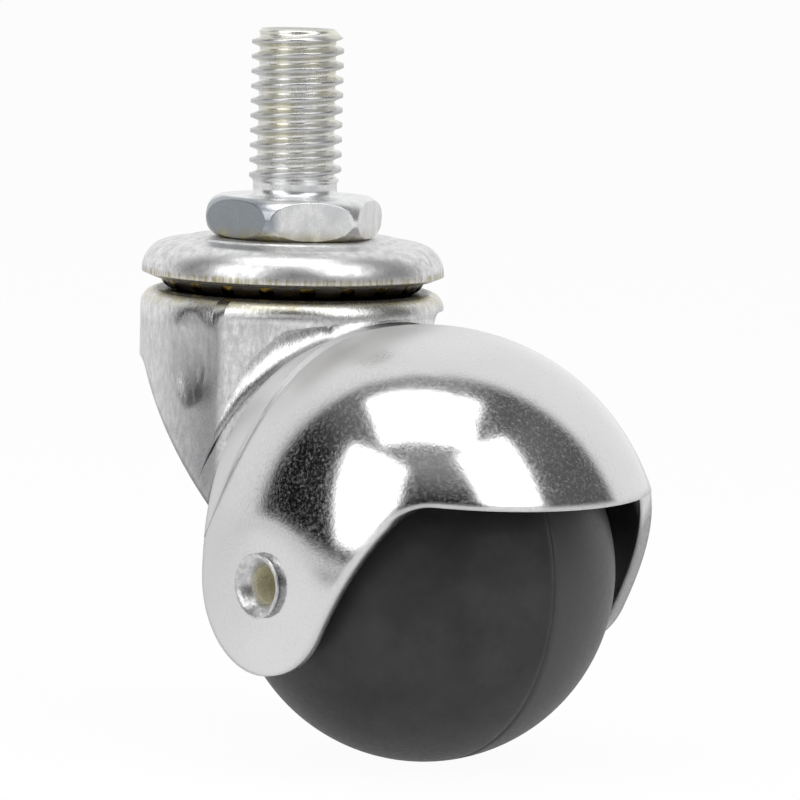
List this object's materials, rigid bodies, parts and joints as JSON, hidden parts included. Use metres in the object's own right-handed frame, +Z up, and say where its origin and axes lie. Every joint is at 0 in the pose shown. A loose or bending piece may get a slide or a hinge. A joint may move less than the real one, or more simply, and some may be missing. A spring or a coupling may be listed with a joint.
{
  "type": "ball caster",
  "caption": "Swivel ball caster with a threaded stem: hex collar, race cap over an open ball race, pressed horn, bright hood with two ears and a hollow plastic ball on a tubular rivet.",
  "frame": {"origin": "centre of the hex collar's top face, which seats on what the stem is screwed into", "axes": "+Z up along the stem and swivel axis; the rolling ball trails towards -Y and turns about an axle along X"},
  "size_m": [0.0368, 0.0493, 0.0599],
  "materials": {
    "stem_zinc": "bright zinc plate, satin, faint yellow stain at the collar",
    "cap_zinc": "bright zinc plate over pressed sheet, sheared rim",
    "horn_zinc": "dull zinc plate with draw marks",
    "washer_steel": "plain hardened steel under grease",
    "hood_chrome": "polished bright plate",
    "rivet_zinc": "zinc plate, slightly yellow inside the bore",
    "ball_plastic": "black moulded plastic, fine matte",
    "bearing_steel": "polished steel under golden brown grease"
  },
  "bodies": {
    "stem": {"stem_bolt": "stem_zinc", "race_cap": "cap_zinc", "lower_race_washer": "washer_steel"},
    "upper_ball_ring": {"upper_ball_01": "bearing_steel", "upper_ball_02": "bearing_steel", "upper_ball_03": "bearing_steel", "upper_ball_04": "bearing_steel", "upper_ball_05": "bearing_steel", "upper_ball_06": "bearing_steel", "upper_ball_07": "bearing_steel", "upper_ball_08": "bearing_steel", "upper_ball_09": "bearing_steel", "upper_ball_10": "bearing_steel", "upper_ball_11": "bearing_steel", "upper_ball_12": "bearing_steel", "upper_ball_13": "bearing_steel", "upper_ball_14": "bearing_steel", "upper_ball_15": "bearing_steel", "upper_ball_16": "bearing_steel", "upper_ball_17": "bearing_steel", "upper_ball_18": "bearing_steel", "upper_ball_19": "bearing_steel", "upper_ball_20": "bearing_steel"},
    "lower_ball_ring": {"lower_ball_01": "bearing_steel", "lower_ball_02": "bearing_steel", "lower_ball_03": "bearing_steel", "lower_ball_04": "bearing_steel", "lower_ball_05": "bearing_steel", "lower_ball_06": "bearing_steel", "lower_ball_07": "bearing_steel", "lower_ball_08": "bearing_steel", "lower_ball_09": "bearing_steel", "lower_ball_10": "bearing_steel", "lower_ball_11": "bearing_steel", "lower_ball_12": "bearing_steel"},
    "swivel": {"horn": "horn_zinc", "hood": "hood_chrome", "axle_rivet": "rivet_zinc"},
    "ball_wheel": {"ball_half_left": "ball_plastic", "ball_half_right": "ball_plastic"}
  },
  "joints": [
    {"name": "swivel_turn", "type": "hinge", "parent": "stem", "child": "swivel", "pos_m": [0, 0, -0.01], "axis": [0, 0, 1], "continuous": true},
    {"name": "upper_ring_turn", "type": "hinge", "parent": "stem", "child": "upper_ball_ring", "pos_m": [0, 0, -0.00655], "axis": [0, 0, 1], "continuous": true},
    {"name": "lower_ring_turn", "type": "hinge", "parent": "stem", "child": "lower_ball_ring", "pos_m": [0, 0, -0.0075], "axis": [0, 0, 1], "continuous": true},
    {"name": "ball_spin", "type": "hinge", "parent": "swivel", "child": "ball_wheel", "pos_m": [0, -0.01735, -0.02995], "axis": [1, 0, 0], "continuous": true}
  ],
  "couplings": [
    {"joint": "upper_ring_turn", "follows": "swivel_turn", "ratio": 0.5},
    {"joint": "lower_ring_turn", "follows": "swivel_turn", "ratio": 0.5}
  ]
}
